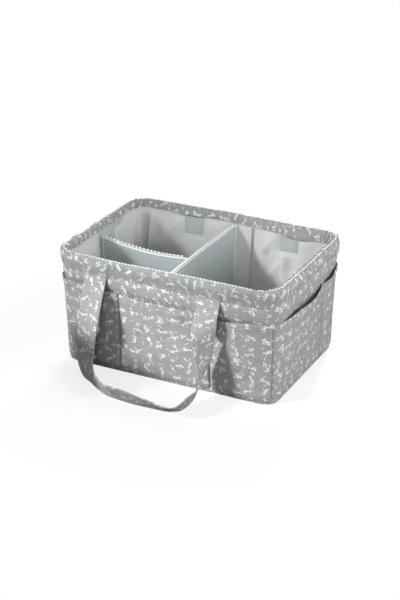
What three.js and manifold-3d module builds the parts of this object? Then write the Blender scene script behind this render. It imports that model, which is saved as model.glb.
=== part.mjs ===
// Soft nursery caddy: a foam-stiffened cloth tub with a gathered rim, a skirt of outside pockets,
// two webbing handles and two padded dividers that lift out. Millimetres, +Z up.
// The origin is the middle of the underside. The front faces -Y and the right end faces +X.
import * as THREE from 'three';
import { mergeVertices } from 'three/addons/utils/BufferGeometryUtils.js';
import Module from 'manifold-3d';

const wasm = await Module();
wasm.setup();

// The tub, whose walls lean out from the base to the rim
const RIM_LENGTH = 392;
const RIM_WIDTH = 278;
const END_LEAN = 9.5;
const SIDE_LEAN = 14;
const BASE_LENGTH = RIM_LENGTH - 2 * END_LEAN;
const BASE_WIDTH = RIM_WIDTH - 2 * SIDE_LEAN;
const HEIGHT = 195;
const RIM_CORNER = 38;
const BASE_CORNER = 22;
const FLARE_CURVE = 1.5;

// Layers of the walls and floor
const CLOTH = 1;
const FOAM = 5;
const LINING = 1;
const BOARD = 3;
const GAP = 0.3;
const SEAM_GAP = 0.5;

// The casing sewn round the rim, and the elastic that gathers it
const CASING_OUTER = 2.4;
const CASING_INNER = 1.2;
const CASING_DROP_OUTSIDE = 27;
const CASING_DROP_INSIDE = 12;
const CASING_ROUND_OUTSIDE = 4;
const CASING_ROUND_INSIDE = 3;
const ELASTIC_HEIGHT = 4;
const ELASTIC_SIDE_GAP = 0.5;

// The pocket skirt: its top edge droops between the corners and stands open between its seams
const POCKET_CLOTH = 1.2;
const POCKET_CORNER_HEIGHT = 149;
const POCKET_DROOP = 10;
const POCKET_BELLY = 1.5;
const LONG_POCKET_SEAM = 78;
const END_POCKET_SEAM = 48;
const OUTER_POCKET_GAPE = 7.5;
const MIDDLE_POCKET_GAPE = 10;
const WIDE_END_POCKET_GAPE = 10;
const NARROW_END_POCKET_GAPE = 5;

// Handles: webbing sewn under the casing, places measured along the wall from its middle
const STRAP_WIDTH = 38;
const STRAP = 2.4;
const STRAP_LEFT = -117;
const STRAP_RIGHT = 82;
const STRAP_REACH = 88;
const STRAP_END = 1.2;
const STRAP_END_HEIGHT = 20;
const HINGE_DROP = 3;
const HINGE_STANDOFF = 6.5;
const FOOT_SETBACK = 0.5;
const STRAP_FLOOR_GAP = 2.4;

// Dividers: drops are measured down from the rim, and from a divider's end down to its tab
const DIVIDER = 6;
const DIVIDER_COVER = 0.8;
const CROSS_PLACE = 4;
const CROSS_BOW = 17;
const CROSS_DROP = 11;
const CROSS_SAG = 14;
const LONG_PLACE = -7;
const LONG_DROP = 19;
const LONG_FALL = 9;
const LONG_SAG = 6;
const TAB = 1;
const TAB_REACH = 26;
const TAB_FOOT = 18;
const CROSS_TAB_DROP = 2;
const LONG_TAB_DROP = 10;

// Hook-and-loop fastening
const HOOK = 1;
const HOOK_WIDTH = 22;
const HOOK_HEIGHT = 26;
const LOOP = 1.2;
const LOOP_SIZE = 33;
const LOOP_PITCH = 88;
const LOOP_EDGE = 3;
const WALL_STRIP_LENGTH = 84;

// Worked-out places: depths are measured inward from the outside of the wall
const FOAM_DEPTH = CLOTH + GAP;
const LINING_DEPTH = FOAM_DEPTH + FOAM + GAP;
const STACK = LINING_DEPTH + LINING;
const LOOP_DEPTH = STACK + GAP;
const HOOK_DEPTH = LOOP_DEPTH + LOOP + GAP;
const TAB_DEPTH = HOOK_DEPTH + HOOK + GAP;
const DIVIDER_DEPTH = TAB_DEPTH + TAB + GAP;
const CASING_REACH = GAP + CASING_OUTER;
const WALL_LENGTH = RIM_LENGTH - 2 * CASING_REACH;
const WALL_WIDTH = RIM_WIDTH - 2 * CASING_REACH;
const WALL_CORNER = RIM_CORNER - CASING_REACH;
const WALL_FOOT = CLOTH + GAP;
const BOARD_FOOT = CLOTH + GAP;
const LINING_FLOOR = BOARD_FOOT + BOARD + GAP;
const DIVIDER_FOOT = LINING_FLOOR + LINING + GAP;
const CASING_ROOF = HEIGHT - CASING_OUTER;
const FOAM_TOP = CASING_ROOF - 2 * GAP - ELASTIC_HEIGHT;
const WALL_TOP = CASING_ROOF - GAP;
const CASING_SEAM = HEIGHT - CASING_DROP_OUTSIDE;
const LOOP_TOP = HEIGHT - CASING_DROP_INSIDE - GAP;
const HINGE_HEIGHT = CASING_SEAM - HINGE_DROP;
const CROSS_TOP = HEIGHT - CROSS_DROP;
const CROSS_TAB_TOP = CROSS_TOP - CROSS_TAB_DROP;
const LONG_TOP = HEIGHT - LONG_DROP;
const LONG_TAB_TOPS = { wall: LONG_TOP - LONG_TAB_DROP, inner: LONG_TOP - LONG_FALL - LONG_TAB_DROP };

const SIDES = {
  front: { along: [1, 0], out: [0, -1], isLong: true },
  right: { along: [0, 1], out: [1, 0], isLong: false },
  back: { along: [-1, 0], out: [0, 1], isLong: true },
  left: { along: [0, -1], out: [-1, 0], isLong: false },
};

const mix = THREE.MathUtils.lerp;
const spread = (z) => (Math.max(z, 0) / HEIGHT) ** FLARE_CURVE;
const halfLength = (z) => mix(BASE_LENGTH, WALL_LENGTH, spread(z)) / 2;
const halfWidth = (z) => mix(BASE_WIDTH, WALL_WIDTH, spread(z)) / 2;
const cornerRadius = (z) => mix(BASE_CORNER, WALL_CORNER, spread(z));
const halfRun = (side, z) => (SIDES[side].isLong ? halfLength(z) : halfWidth(z)) - cornerRadius(z);
const halfReach = (side, z) => (SIDES[side].isLong ? halfWidth(z) : halfLength(z));

// A point on the tub. Along a side, place runs from -1 to 1 over the straight wall, and on to -2 and 2
// round the corners at its ends.
function wallPoint(side, place, z, depth) {
  const { along, out } = SIDES[side];
  const radius = cornerRadius(z);
  const turn = Math.sign(place) * Math.max(Math.abs(place) - 1, 0) * Math.PI / 2;
  const a = THREE.MathUtils.clamp(place, -1, 1) * halfRun(side, z) + (radius - depth) * Math.sin(turn);
  const b = halfReach(side, z) - radius + (radius - depth) * Math.cos(turn);
  return [along[0] * a + out[0] * b, along[1] * a + out[1] * b, z];
}

const placeOf = (side, millimetres, z) => millimetres / halfRun(side, z);
const CORNER_TRIM = SEAM_GAP / (BASE_CORNER * Math.PI);
const straightTrim = (side) => SEAM_GAP / 2 / halfRun(side, 0);
const steps = (from, to, count) => Array.from({ length: count + 1 }, (_, i) => mix(from, to, i / count));

// Joins stretches of steps, leaving out the repeated ends
function chain(...stretches) {
  return stretches.flatMap((stretch, i) => (i === 0 ? stretch : stretch.slice(1)));
}

// Geometry from points and triangles, turned so that its faces point out
function closedGeometry(points, triangles) {
  const corner = triangles.map((i) => new THREE.Vector3(...points[i]));
  let volume = 0;
  for (let i = 0; i < corner.length; i += 3) {
    volume += corner[i].dot(new THREE.Vector3().crossVectors(corner[i + 1], corner[i + 2]));
  }
  const geometry = new THREE.BufferGeometry();
  geometry.setAttribute('position', new THREE.Float32BufferAttribute(points.flat(), 3));
  geometry.setIndex(volume < 0 ? triangles.toReversed() : triangles);
  geometry.computeVertexNormals();
  return geometry;
}

// A closed sheet: point(u, v, face) gives its two faces over a grid of stations
function sheet(us, vs, point) {
  const points = [];
  for (const face of [0, 1]) {
    for (const u of us) {
      for (const v of vs) {
        points.push(point(u, v, face));
      }
    }
  }
  const triangles = [];
  const at = (face, i, j) => (face * us.length + i) * vs.length + j;
  const quad = (a, b, c, d) => triangles.push(a, b, c, a, c, d);
  const lastU = us.length - 1;
  const lastV = vs.length - 1;
  for (let i = 0; i < lastU; i += 1) {
    for (let j = 0; j < lastV; j += 1) {
      quad(at(0, i, j), at(0, i + 1, j), at(0, i + 1, j + 1), at(0, i, j + 1));
      quad(at(1, i, j), at(1, i, j + 1), at(1, i + 1, j + 1), at(1, i + 1, j));
    }
    quad(at(0, i, 0), at(1, i, 0), at(1, i + 1, 0), at(0, i + 1, 0));
    quad(at(0, i, lastV), at(0, i + 1, lastV), at(1, i + 1, lastV), at(1, i, lastV));
  }
  for (let j = 0; j < lastV; j += 1) {
    quad(at(0, 0, j), at(0, 0, j + 1), at(1, 0, j + 1), at(1, 0, j));
    quad(at(0, lastU, j), at(1, lastU, j), at(1, lastU, j + 1), at(0, lastU, j + 1));
  }
  return closedGeometry(points, triangles);
}

// A closed profile carried along stations, with flat ends, or joined into a ring
function sweep(stations, profile, point, isRing) {
  const points = stations.flatMap((station) => profile.map((corner) => point(station, corner)));
  const triangles = [];
  const count = profile.length;
  const spans = isRing ? stations.length : stations.length - 1;
  for (let i = 0; i < spans; i += 1) {
    const here = i * count;
    const next = ((i + 1) % stations.length) * count;
    for (let j = 0; j < count; j += 1) {
      const k = (j + 1) % count;
      triangles.push(here + j, next + j, next + k, here + j, next + k, here + k);
    }
  }
  if (!isRing) {
    const cap = THREE.ShapeUtils.triangulateShape(profile, []);
    const end = (stations.length - 1) * count;
    const isClockwise = THREE.ShapeUtils.isClockWise(profile);
    for (const [a, b, c] of cap) {
      const face = isClockwise ? [a, c, b] : [a, b, c];
      triangles.push(...face, end + face[0], end + face[2], end + face[1]);
    }
  }
  return closedGeometry(points, triangles);
}

function toSolid(geometry) {
  const bare = new THREE.BufferGeometry();
  bare.setAttribute('position', geometry.getAttribute('position'));
  bare.setIndex(geometry.getIndex());
  const merged = mergeVertices(bare);
  const vertProperties = Float32Array.from(merged.getAttribute('position').array);
  const triVerts = Uint32Array.from(merged.getIndex().array);
  return new wasm.Manifold(new wasm.Mesh({ numProp: 3, vertProperties, triVerts }));
}

function cut(geometry, ...cutters) {
  let solid = toSolid(geometry);
  for (const cutter of cutters) {
    solid = solid.subtract(toSolid(cutter));
  }
  const mesh = solid.getMesh();
  const result = new THREE.BufferGeometry();
  result.setAttribute('position', new THREE.Float32BufferAttribute(mesh.vertProperties, 3));
  result.setIndex(Array.from(mesh.triVerts));
  result.computeVertexNormals();
  return result;
}

// Cloth, foam and other materials, as the object shows them
const PRINT = { color: 0xa1a5a5, roughness: 0.92, metalness: 0 };
const PALE_LINING = { color: 0xb9b9b5, roughness: 0.85, metalness: 0 };
const PADDED_CLOTH = { color: 0x98a5a8, roughness: 0.7, metalness: 0 };
const PILE = { color: 0xabb6b4, roughness: 0.95, metalness: 0 };
const HOOK_TAPE = { color: 0x8f9794, roughness: 0.6, metalness: 0 };
const WHITE_FOAM = { color: 0xe8e8e4, roughness: 0.9, metalness: 0 };
const GREY_BOARD = { color: 0x6d6a66, roughness: 0.8, metalness: 0 };
const ELASTIC = { color: 0xf0efec, roughness: 0.9, metalness: 0 };

const caddy = new THREE.Group();
caddy.name = 'diaper_caddy';

function place(name, geometry, finish, parent = caddy) {
  const mesh = new THREE.Mesh(geometry, new THREE.MeshStandardMaterial(finish));
  mesh.name = name;
  parent.add(mesh);
  return mesh;
}

// Stations over a straight wall and half of each corner, up to the corner seams
const CORNER_STEPS = 4;
const CORNER_SEAM = 1.5 - CORNER_TRIM;
const panelStations = chain(
  steps(-CORNER_SEAM, -1, CORNER_STEPS), steps(-1, 1, 4), steps(1, CORNER_SEAM, CORNER_STEPS));

// A layer of the wall between two heights
function wallLayer(side, stations, depth, thickness, foot, top, rows) {
  return sheet(stations, steps(foot, top, rows), (at, z, face) => (
    wallPoint(side, at, z, depth + face * thickness)));
}

// A patch on a straight wall, placed in millimetres from its middle
function wallPatch(side, from, to, depth, thickness, foot, top, rows = 1) {
  return sheet([from, to], steps(foot, top, rows), (a, z, face) => (
    wallPoint(side, placeOf(side, a, z), z, depth + face * thickness)));
}

// The floor: cloth underneath, a board, and the lining over it
function floorPlate(depth, foot, thickness) {
  const x = halfLength(0) - depth;
  const y = halfWidth(0) - depth;
  const radius = BASE_CORNER - depth;
  const shape = new THREE.Shape();
  shape.moveTo(-x + radius, -y);
  shape.lineTo(x - radius, -y);
  shape.absarc(x - radius, -y + radius, radius, -Math.PI / 2, 0);
  shape.absarc(x - radius, y - radius, radius, 0, Math.PI / 2);
  shape.absarc(-x + radius, y - radius, radius, Math.PI / 2, Math.PI);
  shape.absarc(-x + radius, -y + radius, radius, Math.PI, 1.5 * Math.PI);
  const solid = { depth: thickness, bevelEnabled: false, curveSegments: 8 };
  return new THREE.ExtrudeGeometry(shape, solid).translate(0, 0, foot);
}

place('outer_base', floorPlate(0, 0, CLOTH), PRINT);
place('base_board', floorPlate(STACK + GAP, BOARD_FOOT, BOARD), GREY_BOARD);
place('lining_base', floorPlate(STACK + GAP, LINING_FLOOR, LINING), PALE_LINING);

// The walls: printed cloth outside, foam board between, lining inside
const WALL_ROWS = 6;
for (const side of Object.keys(SIDES)) {
  const trim = straightTrim(side);
  place(`outer_${side}`, wallLayer(side, panelStations, 0, CLOTH, WALL_FOOT, WALL_TOP, WALL_ROWS), PRINT);
  place(`foam_${side}`,
    wallLayer(side, [-1 + trim, 1 - trim], FOAM_DEPTH, FOAM, WALL_FOOT, FOAM_TOP, WALL_ROWS), WHITE_FOAM);
  place(`lining_${side}`,
    wallLayer(side, panelStations, LINING_DEPTH, LINING, WALL_FOOT, WALL_TOP, WALL_ROWS), PALE_LINING);
}

// The rim casing: a channel over the top of the wall. The end casings wrap both corners.
function arcPoints(x, y, radius, from, to) {
  return steps(from, to, 4).map((angle) => new THREE.Vector2(
    x + radius * Math.cos(angle), y + radius * Math.sin(angle)));
}

const outsideFace = -CASING_REACH;
const insideFace = STACK + GAP + CASING_INNER;
const casingProfile = [
  new THREE.Vector2(-GAP, CASING_SEAM),
  new THREE.Vector2(outsideFace, CASING_SEAM),
  ...arcPoints(outsideFace + CASING_ROUND_OUTSIDE, HEIGHT - CASING_ROUND_OUTSIDE, CASING_ROUND_OUTSIDE,
    Math.PI, Math.PI / 2),
  ...arcPoints(insideFace - CASING_ROUND_INSIDE, HEIGHT - CASING_ROUND_INSIDE, CASING_ROUND_INSIDE,
    Math.PI / 2, 0),
  new THREE.Vector2(insideFace, HEIGHT - CASING_DROP_INSIDE),
  new THREE.Vector2(STACK + GAP, HEIGHT - CASING_DROP_INSIDE),
  new THREE.Vector2(STACK + GAP, CASING_ROOF),
  new THREE.Vector2(-GAP, CASING_ROOF),
];

function casing(side, stations) {
  return sweep(stations, casingProfile, (at, corner) => wallPoint(side, at, corner.y, corner.x), false);
}

// The sewn end of a strap, which lies under the casing and turns out to the hinge line
const footReach = HINGE_STANDOFF - FOOT_SETBACK;
const footHeight = HINGE_HEIGHT + STRAP / 2 + 2.5 * GAP;
const strapEndProfile = [
  new THREE.Vector2(-GAP, footHeight),
  new THREE.Vector2(-GAP, CASING_SEAM + STRAP_END_HEIGHT),
  new THREE.Vector2(-GAP - STRAP_END, CASING_SEAM + STRAP_END_HEIGHT),
  new THREE.Vector2(-GAP - STRAP_END, CASING_SEAM - GAP),
  new THREE.Vector2(-footReach, CASING_SEAM - GAP),
  new THREE.Vector2(-footReach, footHeight),
];
const strapPlaces = { left: STRAP_LEFT, right: STRAP_RIGHT };

function strapEnd(side, middle) {
  const edges = [middle - STRAP_WIDTH / 2, middle + STRAP_WIDTH / 2];
  return sweep(edges, strapEndProfile, (a, corner) => (
    wallPoint(side, placeOf(side, a, corner.y), corner.y, corner.x)), false);
}

function strapEndRoom(side, middle) {
  const half = STRAP_WIDTH / 2 + GAP;
  const top = CASING_SEAM + STRAP_END_HEIGHT + GAP;
  return wallPatch(side, middle - half, middle + half, -2 * GAP - STRAP_END, STRAP_END + 2 * GAP,
    CASING_SEAM - GAP, top);
}

const handleNames = { front: 'front_handle', back: 'rear_handle' };
for (const side of Object.keys(handleNames)) {
  const trim = straightTrim(side);
  const rooms = Object.values(strapPlaces).map((middle) => strapEndRoom(side, middle));
  place(`rim_casing_${side}`, cut(casing(side, steps(-1 + trim, 1 - trim, 4)), ...rooms), PRINT);
  for (const [end, middle] of Object.entries(strapPlaces)) {
    place(`${handleNames[side]}_sewn_end_${end}`, strapEnd(side, middle), PRINT);
  }
}
for (const side of ['left', 'right']) {
  const end = 2 - CORNER_TRIM;
  const stations = chain(steps(-end, -1, 8), steps(-1, 1, 4), steps(1, end, 8));
  place(`rim_casing_${side}`, casing(side, stations), PRINT);
}

// The elastic is one ring inside the casing, resting on the foam
const elasticDepths = [FOAM_DEPTH + ELASTIC_SIDE_GAP, FOAM_DEPTH + FOAM - ELASTIC_SIDE_GAP];
const elasticProfile = [
  new THREE.Vector2(elasticDepths[0], FOAM_TOP + GAP),
  new THREE.Vector2(elasticDepths[1], FOAM_TOP + GAP),
  new THREE.Vector2(elasticDepths[1], FOAM_TOP + GAP + ELASTIC_HEIGHT),
  new THREE.Vector2(elasticDepths[0], FOAM_TOP + GAP + ELASTIC_HEIGHT),
];
const ringStations = Object.keys(SIDES).flatMap((side) => (
  [-1, ...steps(1, 2, 8).slice(0, -1)].map((at) => ({ side, at }))));
place('rim_elastic', sweep(ringStations, elasticProfile, ({ side, at }, corner) => (
  wallPoint(side, at, corner.y, corner.x)), true), ELASTIC);

// The pocket skirt, sewn down at the corners, along the bottom and at seams that part its pockets
const pocketSeams = { long: [-LONG_POCKET_SEAM, LONG_POCKET_SEAM], end: [END_POCKET_SEAM] };
const pocketGapes = {
  long: [OUTER_POCKET_GAPE, MIDDLE_POCKET_GAPE, OUTER_POCKET_GAPE],
  end: [WIDE_END_POCKET_GAPE, NARROW_END_POCKET_GAPE],
};
const POCKET_STEPS = 6;

function pocket(side) {
  const kind = SIDES[side].isLong ? 'long' : 'end';
  const seams = pocketSeams[kind].map((a) => placeOf(side, a, POCKET_CORNER_HEIGHT));
  const edges = [-1, ...seams, 1];
  const spans = edges.slice(1).map((to, i) => steps(edges[i], to, POCKET_STEPS));
  const stations = chain(
    steps(-CORNER_SEAM, -1, CORNER_STEPS), ...spans, steps(1, CORNER_SEAM, CORNER_STEPS));
  const gape = (at) => {
    if (Math.abs(at) >= 1) return 0;
    const i = edges.findLastIndex((edge) => edge <= at);
    const share = (at - edges[i]) / (edges[i + 1] - edges[i]);
    return pocketGapes[kind][i] * Math.sin(Math.PI * share);
  };
  const top = (at) => POCKET_CORNER_HEIGHT - POCKET_DROOP * Math.cos(
    Math.PI / 2 * THREE.MathUtils.clamp(at, -1, 1));
  return sheet(stations, steps(0, 1, 6), (at, rise, face) => {
    const z = mix(WALL_FOOT, top(at), rise);
    const out = GAP + gape(at) * rise ** POCKET_BELLY + (1 - face) * POCKET_CLOTH;
    return wallPoint(side, at, z, -out);
  });
}

for (const side of Object.keys(SIDES)) {
  place(`pocket_${side}`, pocket(side), PRINT);
}

// The loop of a front handle as it hangs, from the left seam round to the right one: the share of the way
// between the legs, the distance out from the hinge line as a share of the loop's reach, the height as a
// share of the hinge's height (none where the lower edge lies on the floor), and the direction across the
// webbing.
const hangingLoop = [
  { share: 0, out: 0, rise: 1, across: [1, 0, 0] },
  { share: 0, out: 0.023, rise: 0.93, across: [1, 0, 0] },
  { share: 0, out: 0.17, rise: 0.75, across: [0.95, 0, 0.25] },
  { share: -0.015, out: 0.25, rise: 0.54, across: [0.95, -0.2, 0] },
  { share: -0.075, out: 0.12, rise: 0.24, across: [0.88, -0.25, 0.38] },
  { share: -0.048, out: 0.19, across: [0.45, 0.25, 0.85] },
  { share: 0.07, out: 0.485, across: [0.1, 0.1, 0.95] },
  { share: 0.178, out: 0.745, across: [-0.12, -0.18, 0.97] },
  { share: 0.311, out: 0.94, across: [-0.03, -0.52, 0.85] },
  { share: 0.5, out: 1, across: [0, -0.54, 0.84] },
  { share: 0.71, out: 1.025, across: [0, -0.66, 0.75] },
  { share: 0.908, out: 0.965, across: [0.54, -0.61, 0.58] },
  { share: 0.967, out: 0.765, across: [0.53, 0.25, 0.8] },
  { share: 0.976, out: 0.415, across: [0.4, -0.32, 0.86] },
  { share: 0.984, out: 0.227, rise: 0.215, across: [0.32, -0.88, 0.3] },
  { share: 1.015, out: 0.205, rise: 0.38, across: [-0.07, -1, 0] },
  { share: 1.02, out: 0.264, rise: 0.676, across: [-0.64, -0.77, 0] },
  { share: 1.005, out: 0.145, rise: 0.835, across: [-1, -0.1, 0] },
  { share: 1, out: 0.023, rise: 0.93, across: [-1, 0, 0] },
  { share: 1, out: 0, rise: 1, across: [-1, 0, 0] },
];
const hingeReach = halfWidth(HINGE_HEIGHT) + HINGE_STANDOFF;

function strap() {
  const across = new THREE.CatmullRomCurve3(
    hangingLoop.map((stop) => new THREE.Vector3(...stop.across).normalize()), false, 'catmullrom');
  const middle = new THREE.CatmullRomCurve3(hangingLoop.map((stop) => {
    const tilt = Math.abs(stop.across[2]) / Math.hypot(...stop.across);
    const lying = STRAP_FLOOR_GAP + STRAP / 2 + tilt * STRAP_WIDTH / 2;
    const height = stop.rise === undefined ? lying : stop.rise * HINGE_HEIGHT;
    const reach = hingeReach + stop.out * STRAP_REACH;
    return new THREE.Vector3(mix(STRAP_LEFT, STRAP_RIGHT, stop.share), -reach, height);
  }), false, 'centripetal');
  return sheet(steps(0, 1, 60), steps(-0.5, 0.5, 2), (t, v, face) => {
    const tangent = middle.getTangent(t);
    const side = across.getPoint(t);
    side.addScaledVector(tangent, -side.dot(tangent)).normalize();
    const normal = new THREE.Vector3().crossVectors(tangent, side);
    const point = middle.getPoint(t).addScaledVector(side, v * STRAP_WIDTH);
    return point.addScaledVector(normal, (0.5 - face) * STRAP).toArray();
  });
}

const rearTurn = new THREE.Group();
rearTurn.rotation.z = Math.PI;
caddy.add(rearTurn);
place('front_handle_strap', strap(), PRINT);
place('rear_handle_strap', strap(), PRINT, rearTurn);

// Dividers: a foam core in a padded cover that is open below. Both bow and sag a little.
const bow = (share) => 1 - (2 * share - 1) ** 2;
const crossEnd = (z) => halfWidth(z) - DIVIDER_DEPTH;
const crossMiddle = (y, z) => CROSS_PLACE - CROSS_BOW * (1 - (y / crossEnd(z)) ** 2);
const longWallEnd = (z) => -(halfLength(z) - DIVIDER_DEPTH);
const loopStripDepth = DIVIDER / 2 + GAP;
const innerHookDepth = loopStripDepth + LOOP + GAP;
const innerTabDepth = innerHookDepth + HOOK + GAP;
const longFaces = [LONG_PLACE - DIVIDER / 2, LONG_PLACE + DIVIDER / 2];
const longInnerEnd = (z) => (
  Math.min(...longFaces.map((y) => crossMiddle(y, z))) - innerTabDepth - TAB - GAP);

function crossPanel(thickness, inset, foot) {
  return sheet(steps(0, 1, 12), steps(0, 1, 5), (share, rise, face) => {
    const z = mix(foot, CROSS_TOP - CROSS_SAG * bow(share) - inset, rise);
    const y = mix(-1, 1, share) * (crossEnd(z) - inset);
    return [crossMiddle(y, z) + (face - 0.5) * thickness, y, z];
  });
}

function longPanel(thickness, inset, foot) {
  return sheet(steps(0, 1, 8), steps(0, 1, 5), (share, rise, face) => {
    const z = mix(foot, LONG_TOP - LONG_FALL * share - LONG_SAG * bow(share) - inset, rise);
    const x = mix(longWallEnd(z) + inset, longInnerEnd(z) - inset, share);
    return [x, LONG_PLACE + (face - 0.5) * thickness, z];
  });
}

function divider(name, panel) {
  const room = DIVIDER - 2 * DIVIDER_COVER;
  const cover = panel(DIVIDER, 0, DIVIDER_FOOT);
  const hollow = panel(room, DIVIDER_COVER, DIVIDER_FOOT - DIVIDER_COVER);
  place(`${name}_cover`, cut(cover, hollow), PADDED_CLOTH);
  place(`${name}_core`, panel(room - 2 * GAP, DIVIDER_COVER + GAP, DIVIDER_FOOT), WHITE_FOAM);
}

divider('cross_divider', crossPanel);
divider('long_divider', longPanel);

// Tabs at the dividers' ends lie along the walls, with hook tape behind them that grips loop patches
const loopRow = [-1, 0, 1].map((i) => CROSS_PLACE - LOOP_EDGE + HOOK_WIDTH / 2 + i * LOOP_PITCH);
const loopNames = ['left', 'middle', 'right'];
const crossTabSpan = [CROSS_PLACE - DIVIDER / 2, CROSS_PLACE + DIVIDER / 2 + TAB_REACH];
const longTabSpan = [LONG_PLACE - DIVIDER / 2, LONG_PLACE + DIVIDER / 2 + TAB_REACH];
const crossHookSpan = [CROSS_PLACE - LOOP_EDGE, CROSS_PLACE - LOOP_EDGE + HOOK_WIDTH];
const longHookSpan = [LONG_PLACE - LOOP_EDGE, LONG_PLACE - LOOP_EDGE + HOOK_WIDTH];
const innerLoopMiddle = LONG_PLACE - LOOP_EDGE + HOOK_WIDTH / 2;
const wallStripStart = LONG_PLACE - 2 * LOOP_EDGE;
const wallStripSpan = [wallStripStart, wallStripStart + WALL_STRIP_LENGTH];
const hookMargin = (LOOP_SIZE - HOOK_HEIGHT) / 2;
const TAB_ROWS = 4;

// On the back and left walls the along direction runs the other way
function spanOn(side, [from, to]) {
  return side === 'front' ? [from, to] : [-to, -from];
}

for (const side of ['front', 'back']) {
  const middles = loopRow.map((x) => spanOn(side, [x, x])[0]);
  middles.forEach((middle, i) => {
    const patch = wallPatch(side, middle - LOOP_SIZE / 2, middle + LOOP_SIZE / 2, LOOP_DEPTH, LOOP,
      LOOP_TOP - LOOP_SIZE, LOOP_TOP);
    place(`loop_patch_${side}_${loopNames[i]}`, patch, PILE);
  });
  place(`cross_divider_tab_${side}`, wallPatch(side, ...spanOn(side, crossTabSpan), TAB_DEPTH, TAB,
    TAB_FOOT, CROSS_TAB_TOP, TAB_ROWS), PALE_LINING);
  place(`cross_divider_hook_${side}`, wallPatch(side, ...spanOn(side, crossHookSpan), HOOK_DEPTH, HOOK,
    CROSS_TAB_TOP - LOOP_EDGE - HOOK_HEIGHT, CROSS_TAB_TOP - LOOP_EDGE), HOOK_TAPE);
}

// The left wall carries one long strip of loop, so the long divider can be set further back
const wallHookTop = LONG_TAB_TOPS.wall - LOOP_EDGE;
place('loop_patch_left_wall', wallPatch('left', ...spanOn('left', wallStripSpan), LOOP_DEPTH, LOOP,
  wallHookTop - HOOK_HEIGHT - hookMargin, LOOP_TOP, 2), PILE);
place('long_divider_tab_wall', wallPatch('left', ...spanOn('left', longTabSpan), TAB_DEPTH, TAB,
  TAB_FOOT, LONG_TAB_TOPS.wall, TAB_ROWS), PADDED_CLOTH);
place('long_divider_hook_wall', wallPatch('left', ...spanOn('left', longHookSpan), HOOK_DEPTH, HOOK,
  wallHookTop - HOOK_HEIGHT, wallHookTop), HOOK_TAPE);

// A layer on the left face of the cross divider, which follows its bow
function crossLayer([from, to], depth, thickness, foot, top) {
  return sheet(steps(from, to, 4), [foot, top], (y, z, face) => (
    [crossMiddle(y, z) - depth - (1 - face) * thickness, y, z]));
}

const innerHookTop = LONG_TAB_TOPS.inner - LOOP_EDGE;
const innerLoopTop = innerHookTop + hookMargin;
const loopStripSpan = [innerLoopMiddle - LOOP_SIZE / 2, innerLoopMiddle + LOOP_SIZE / 2];
place('cross_divider_loop_strip', crossLayer(loopStripSpan, loopStripDepth, LOOP,
  innerLoopTop - LOOP_SIZE, innerLoopTop), PILE);
place('long_divider_hook_inner', crossLayer(longHookSpan, innerHookDepth, HOOK,
  innerHookTop - HOOK_HEIGHT, innerHookTop), HOOK_TAPE);
place('long_divider_tab_inner', crossLayer(longTabSpan, innerTabDepth, TAB, TAB_FOOT, LONG_TAB_TOPS.inner),
  PADDED_CLOTH);

export default caddy;
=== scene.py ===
# %% [markdown]
# # A cloth nursery caddy, dressed
#
# The solids of the caddy give every place and size. This lesson puts cloth on them: a printed cotton tub
# with a gathered rim and a skirt of outside pockets, two printed handles, a pale lining and two padded
# dividers. Everything is in metres, with +Z up, the front facing -Y and the right end facing +X.

# %% Load the frame
import math
from functools import partial

import bpy
import numpy as np
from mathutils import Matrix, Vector


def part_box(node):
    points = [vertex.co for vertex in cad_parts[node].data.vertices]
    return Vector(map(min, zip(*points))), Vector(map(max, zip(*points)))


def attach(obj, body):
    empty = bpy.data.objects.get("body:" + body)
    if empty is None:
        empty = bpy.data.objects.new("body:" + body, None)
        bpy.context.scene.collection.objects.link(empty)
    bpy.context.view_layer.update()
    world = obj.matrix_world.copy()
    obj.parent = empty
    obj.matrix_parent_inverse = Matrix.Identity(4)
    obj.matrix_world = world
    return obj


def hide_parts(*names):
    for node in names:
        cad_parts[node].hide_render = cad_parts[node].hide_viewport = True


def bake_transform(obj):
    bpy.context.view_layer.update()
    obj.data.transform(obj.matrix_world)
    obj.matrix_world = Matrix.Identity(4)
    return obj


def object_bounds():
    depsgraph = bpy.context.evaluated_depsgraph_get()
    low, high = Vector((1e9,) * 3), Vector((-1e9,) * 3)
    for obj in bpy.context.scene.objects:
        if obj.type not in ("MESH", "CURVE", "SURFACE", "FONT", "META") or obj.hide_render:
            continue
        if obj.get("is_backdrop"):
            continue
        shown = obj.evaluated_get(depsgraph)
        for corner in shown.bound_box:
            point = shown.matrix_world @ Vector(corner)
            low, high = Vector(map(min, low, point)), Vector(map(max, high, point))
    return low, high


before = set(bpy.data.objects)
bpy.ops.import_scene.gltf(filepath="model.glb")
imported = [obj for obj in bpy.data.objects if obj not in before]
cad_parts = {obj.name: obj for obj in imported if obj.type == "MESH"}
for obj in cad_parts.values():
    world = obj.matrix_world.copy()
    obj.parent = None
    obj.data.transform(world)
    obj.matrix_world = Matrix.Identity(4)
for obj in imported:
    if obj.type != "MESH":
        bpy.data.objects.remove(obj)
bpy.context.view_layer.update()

# %% [markdown]
# ## The camera
#
# The photograph looks at the front right corner from a little above, through a long lens that keeps the
# sides nearly parallel. The angles and the distance come from the corners of the rim and the base.

# %% Camera
AZIMUTH, ELEVATION, DISTANCE = math.radians(26.7), math.radians(24.9), 2.462
TARGET = Vector((-0.0019, 0, 0.0916))
LENS, SENSOR = 90, 36


def put(name, data):
    """Makes an object of some data and puts it in the scene."""
    made = bpy.data.objects.new(name, data)
    bpy.context.scene.collection.objects.link(made)
    return made


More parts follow.
